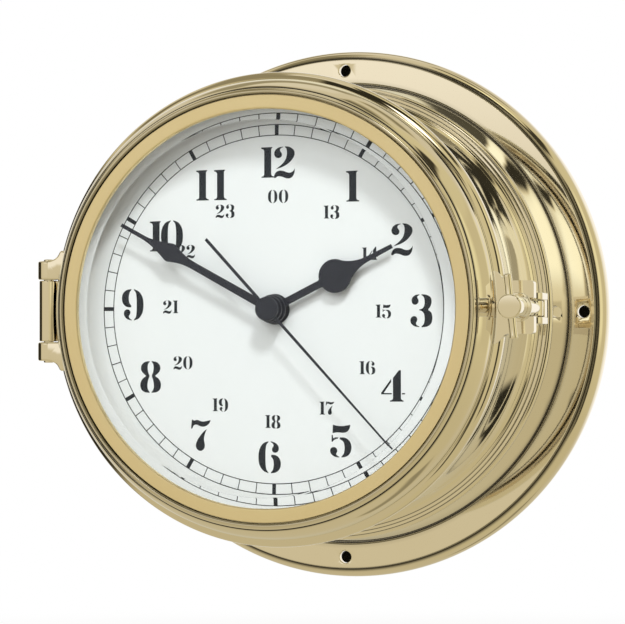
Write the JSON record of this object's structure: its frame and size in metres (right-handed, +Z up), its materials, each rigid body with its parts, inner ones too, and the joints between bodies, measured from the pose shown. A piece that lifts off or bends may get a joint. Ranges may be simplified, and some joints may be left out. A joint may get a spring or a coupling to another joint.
{
  "type": "porthole clock",
  "caption": "Porthole clock for a wall: flanged brass case, hinged bezel with bevelled glass, swing bolt latch and battery movement with hour, minute and seconds hands.",
  "frame": {"origin": "centre of the flange's back, in the wall plane", "axes": "+Y into the wall, so the dial faces -Y; +Z up through 12 o'clock; +X towards 3 o'clock and the latch"},
  "size_m": [0.216, 0.1176, 0.216],
  "materials": {
    "polished_brass": "polished",
    "satin_brass": "satin",
    "clear_glass": "polished",
    "black_rubber": "matte",
    "dial_white": "satin",
    "hand_black": "satin",
    "movement_plastic": "matte",
    "wheel_plastic": "matte",
    "steel": "brushed",
    "coil_wire": "enamelled",
    "board_green": "gloss",
    "battery_jacket": "gloss"
  },
  "bodies": {
    "case_body": {"case": "polished_brass", "hinge_pin": "polished_brass", "bezel_seal": "black_rubber", "dial": "dial_white", "dial_screw_top": "polished_brass", "dial_screw_right": "polished_brass", "dial_screw_bottom": "polished_brass", "latch_bracket": "polished_brass", "bracket_screw_rear": "polished_brass", "bracket_screw_front": "polished_brass", "latch_pin": "polished_brass", "movement_shell": "movement_plastic", "movement_cover": "movement_plastic", "movement_cushion": "black_rubber", "hub_washer": "hand_black", "hub_nut": "hand_black", "stator": "steel", "drive_coil": "coil_wire", "coil_core": "steel", "circuit_board": "board_green", "battery": "battery_jacket", "battery_contact_plus": "steel", "battery_contact_minus": "steel"},
    "bezel_body": {"bezel": "polished_brass", "lip_ring": "satin_brass", "bevelled_glass": "clear_glass", "glass_gasket": "black_rubber", "glass_retainer": "polished_brass"},
    "bolt_body": {"swing_bolt": "polished_brass"},
    "washer_body": {"latch_washer": "polished_brass"},
    "nut_body": {"thumb_nut": "polished_brass", "thumb_bar_upper": "polished_brass", "thumb_bar_lower": "polished_brass"},
    "second_body": {"second_hand": "hand_black", "second_wheel": "wheel_plastic"},
    "minute_body": {"minute_hand": "hand_black", "centre_wheel": "polished_brass"},
    "hour_body": {"hour_hand": "hand_black", "hour_wheel": "polished_brass"},
    "third_body": {"third_wheel": "wheel_plastic"},
    "step_body": {"step_wheel": "wheel_plastic"},
    "rotor_body": {"rotor": "steel"},
    "motion_body": {"motion_wheel": "polished_brass", "setting_knob": "wheel_plastic"}
  },
  "joints": [
    {"name": "bezel_hinge", "type": "hinge", "parent": "case_body", "child": "bezel_body", "pos_m": [-0.0937, -0.0994, 0], "axis": [0, 0, -1], "range_deg": [0, 165]},
    {"name": "latch_swing", "type": "hinge", "parent": "case_body", "child": "bolt_body", "pos_m": [0.0953, -0.08, 0], "axis": [0, 0, 1], "range_deg": [0, 95]},
    {"name": "washer_travel", "type": "slide", "parent": "bolt_body", "child": "washer_body", "axis": [0, -1, 0], "range_m": [0, 0.0065]},
    {"name": "nut_turn", "type": "hinge", "parent": "washer_body", "child": "nut_body", "pos_m": [0.0953, -0.1154, 0], "axis": [0, -1, 0], "range_deg": [0, 2880]},
    {"name": "second_turn", "type": "hinge", "parent": "case_body", "child": "second_body", "pos_m": [0, -0.0985, 0], "axis": [0, 1, 0], "continuous": true},
    {"name": "minute_turn", "type": "hinge", "parent": "case_body", "child": "minute_body", "pos_m": [0, -0.0985, 0], "axis": [0, 1, 0], "continuous": true},
    {"name": "hour_turn", "type": "hinge", "parent": "case_body", "child": "hour_body", "pos_m": [0, -0.0985, 0], "axis": [0, 1, 0], "continuous": true},
    {"name": "third_turn", "type": "hinge", "parent": "case_body", "child": "third_body", "pos_m": [0.00808, -0.0852, 0.00294], "axis": [0, 1, 0], "continuous": true},
    {"name": "step_turn", "type": "hinge", "parent": "case_body", "child": "step_body", "pos_m": [-0.00482, -0.0834, 0.00575], "axis": [0, 1, 0], "continuous": true},
    {"name": "rotor_turn", "type": "hinge", "parent": "case_body", "child": "rotor_body", "pos_m": [-0.0126, -0.0863, 0.00712], "axis": [0, 1, 0], "continuous": true},
    {"name": "motion_turn", "type": "hinge", "parent": "case_body", "child": "motion_body", "pos_m": [-0.00304, -0.0918, -0.00836], "axis": [0, 1, 0], "continuous": true}
  ],
  "couplings": [
    {"joint": "washer_travel", "follows": "nut_turn", "m_per_rad": 0.00012732},
    {"joint": "minute_turn", "follows": "second_turn", "ratio": 0.016667},
    {"joint": "hour_turn", "follows": "second_turn", "ratio": 0.0013889},
    {"joint": "third_turn", "follows": "second_turn", "ratio": -0.13333},
    {"joint": "step_turn", "follows": "second_turn", "ratio": -5},
    {"joint": "rotor_turn", "follows": "second_turn", "ratio": 30},
    {"joint": "motion_turn", "follows": "second_turn", "ratio": -0.0055556}
  ]
}
